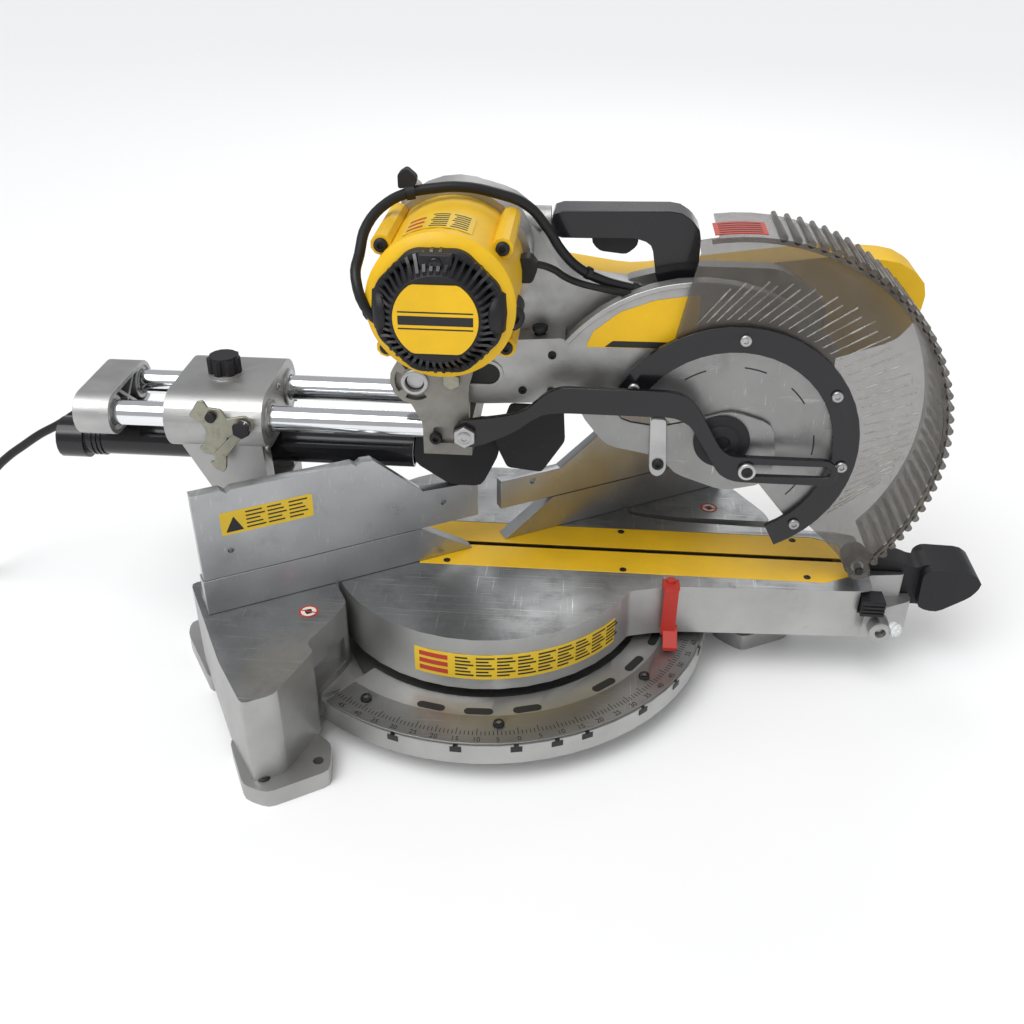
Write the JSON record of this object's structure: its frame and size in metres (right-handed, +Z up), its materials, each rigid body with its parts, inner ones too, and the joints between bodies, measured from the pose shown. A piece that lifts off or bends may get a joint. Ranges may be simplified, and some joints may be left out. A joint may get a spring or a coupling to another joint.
{
  "type": "sliding compound miter saw",
  "caption": "Sliding compound miter saw, head down and table turned 60 degrees right, on twin rails, with a see-through lower guard, motor, sliding fences and a mains cord.",
  "frame": {"origin": "on the miter axis, at the face that the base stands on", "axes": "+X along the rails and the table arm towards the miter handle, -Y to the motor side, +Z up"},
  "size_m": [1.0984, 0.4458, 0.4256],
  "materials": {
    "cast_aluminium": "satin, bead blasted",
    "machined_aluminium": "bright machined, scratched",
    "stainless_plate": "satin",
    "steel": "plain",
    "zinc_plate": "yellow zinc",
    "rough_casting": "rough as cast",
    "polished_rail": "polished",
    "yellow_plastic": "semi gloss",
    "black_plastic": "fine texture",
    "black_gloss_plastic": "gloss",
    "rubber": "matt",
    "red_plastic": "semi gloss",
    "smoked_clear_plastic": "clear, smoky, gloss",
    "copper": "wound copper",
    "cable_jacket": "satin"
  },
  "bodies": {
    "base": {"base_casting": "cast_aluminium", "miter_scale": "stainless_plate", "fence_fixed_left": "machined_aluminium", "fence_fixed_right": "machined_aluminium"},
    "fence_left": {"fence_sliding_left": "machined_aluminium"},
    "fence_right": {"fence_sliding_right": "machined_aluminium"},
    "fence_left_clamp": {"fence_knob_left": "black_plastic"},
    "fence_right_clamp": {"fence_knob_right": "black_plastic"},
    "table": {"turntable": "machined_aluminium", "kerf_plate_near": "yellow_plastic", "kerf_plate_far": "yellow_plastic", "miter_pointer": "red_plastic", "miter_pivot_bolt": "steel", "miter_handle_pin": "steel", "bevel_pivot_bolt": "steel"},
    "miter_handle": {"miter_lock_handle": "black_plastic"},
    "detent": {"miter_detent_tab": "black_plastic"},
    "bevel_post": {"bevel_housing": "cast_aluminium", "rail_bushing_near": "steel", "rail_bushing_far": "steel", "latch_bolt": "steel"},
    "bevel_lever": {"bevel_lock_lever": "black_plastic"},
    "rail_knob": {"rail_lock_knob": "black_plastic"},
    "latch": {"stop_latch": "zinc_plate"},
    "rails": {"rail_near": "polished_rail", "rail_far": "polished_rail", "rail_end_cap": "cast_aluminium", "pivot_bracket": "rough_casting", "pivot_shaft": "steel", "head_return_spring": "steel", "bracket_bolt": "zinc_plate", "lever_nut": "steel", "dust_duct": "black_gloss_plastic", "dust_boot": "rubber", "cord_strain_relief": "cable_jacket", "mains_cord": "cable_jacket", "mains_cord_coil": "cable_jacket", "mains_plug": "black_plastic"},
    "down_pin": {"lock_down_pin": "black_plastic"},
    "lever": {"guard_lever": "black_gloss_plastic"},
    "head": {"arm_casting": "cast_aluminium", "belt_cover": "yellow_plastic", "motor_can": "yellow_plastic", "motor_end_cap": "black_plastic", "brush_cap_front": "black_plastic", "brush_cap_rear": "black_plastic", "stator": "steel", "drive_belt": "rubber", "main_handle": "black_gloss_plastic", "dust_flap": "rubber", "motor_lead": "cable_jacket", "arbor_cover": "zinc_plate"},
    "switch": {"trigger": "black_plastic"},
    "spindle_button": {"spindle_lock_button": "black_plastic"},
    "guard": {"lower_guard": "smoked_clear_plastic", "guard_ring": "black_gloss_plastic", "guard_plate": "stainless_plate"},
    "roller": {"guard_roller": "rubber"},
    "arbor": {"arbor": "steel"},
    "armature": {"armature": "copper"}
  },
  "joints": [
    {"name": "fence_left_slide", "type": "slide", "parent": "base", "child": "fence_left", "axis": [-0.866, -0.5, 0], "range_m": [0, 0.09]},
    {"name": "fence_right_slide", "type": "slide", "parent": "base", "child": "fence_right", "axis": [0.866, 0.5, 0], "range_m": [0, 0.09]},
    {"name": "fence_left_clamp_turn", "type": "hinge", "parent": "base", "child": "fence_left_clamp", "pos_m": [-0.20033, -0.08102, 0.136], "axis": [-0.5, 0.866, 0], "range_deg": [0, 180]},
    {"name": "fence_right_clamp_turn", "type": "hinge", "parent": "base", "child": "fence_right_clamp", "pos_m": [0.17033, 0.13298, 0.136], "axis": [-0.5, 0.866, 0], "range_deg": [0, 180]},
    {"name": "miter", "type": "hinge", "parent": "base", "child": "table", "pos_m": [0, 0, 0.06], "axis": [0, 0, 1], "range_deg": [-110, 0]},
    {"name": "miter_handle_lift", "type": "hinge", "parent": "table", "child": "miter_handle", "pos_m": [0.335, 0, 0.058], "axis": [0, 1, 0], "range_deg": [-14, 0]},
    {"name": "detent_release", "type": "slide", "parent": "table", "child": "detent", "axis": [0, 0, 1], "range_m": [0, 0.004], "stiffness_N_per_m": 150},
    {"name": "bevel", "type": "hinge", "parent": "table", "child": "bevel_post", "pos_m": [-0.19, 0, 0.095], "axis": [1, 0, 0], "range_deg": [-6, 6]},
    {"name": "bevel_lock", "type": "hinge", "parent": "bevel_post", "child": "bevel_lever", "pos_m": [-0.217, 0, 0.095], "axis": [1, 0, 0], "range_deg": [-20, 20]},
    {"name": "rail_lock", "type": "hinge", "parent": "bevel_post", "child": "rail_knob", "pos_m": [-0.216, 0, 0.255], "axis": [0, 0, 1], "range_deg": [0, 180]},
    {"name": "stop_latch_swing", "type": "hinge", "parent": "bevel_post", "child": "latch", "pos_m": [-0.1866, -0.057, 0.2324], "axis": [0, 1, 0], "range_deg": [-40, 20]},
    {"name": "rail_slide", "type": "slide", "parent": "bevel_post", "child": "rails", "axis": [1, 0, 0], "range_m": [-0.08, 0.046]},
    {"name": "lock_down", "type": "slide", "parent": "rails", "child": "down_pin", "axis": [0, 1, 0], "range_m": [0, 0.012]},
    {"name": "guard_lever_swing", "type": "hinge", "parent": "rails", "child": "lever", "pos_m": [-0.0123, -0.058, 0.2344], "axis": [0, 1, 0], "range_deg": [-42, 0]},
    {"name": "chop", "type": "hinge", "parent": "rails", "child": "head", "pos_m": [-0.0508, 0, 0.2736], "axis": [0, 1, 0], "range_deg": [-35, 0]},
    {"name": "trigger_pull", "type": "slide", "parent": "head", "child": "switch", "axis": [0, 0, 1], "range_m": [0, 0.005], "stiffness_N_per_m": 400},
    {"name": "spindle_lock_press", "type": "slide", "parent": "head", "child": "spindle_button", "axis": [0, 0, -1], "range_m": [0, 0.002], "stiffness_N_per_m": 300},
    {"name": "guard_swing", "type": "hinge", "parent": "head", "child": "guard", "pos_m": [0.19, -0.04, 0.225], "axis": [0, 1, 0], "range_deg": [0, 110]},
    {"name": "roller_spin", "type": "hinge", "parent": "guard", "child": "roller", "pos_m": [0.31, -0.022, 0.1126], "axis": [0, 1, 0], "continuous": true},
    {"name": "arbor_spin", "type": "hinge", "parent": "head", "child": "arbor", "pos_m": [0.19, 0.01, 0.225], "axis": [0, 1, 0], "continuous": true},
    {"name": "armature_spin", "type": "hinge", "parent": "head", "child": "armature", "pos_m": [-0.018, -0.06, 0.365], "axis": [0, 1, 0], "continuous": true}
  ],
  "couplings": [
    {"joint": "guard_lever_swing", "follows": "chop", "ratio": 1.11},
    {"joint": "guard_swing", "follows": "chop", "ratio": -3},
    {"joint": "armature_spin", "follows": "arbor_spin", "ratio": 1.5}
  ]
}
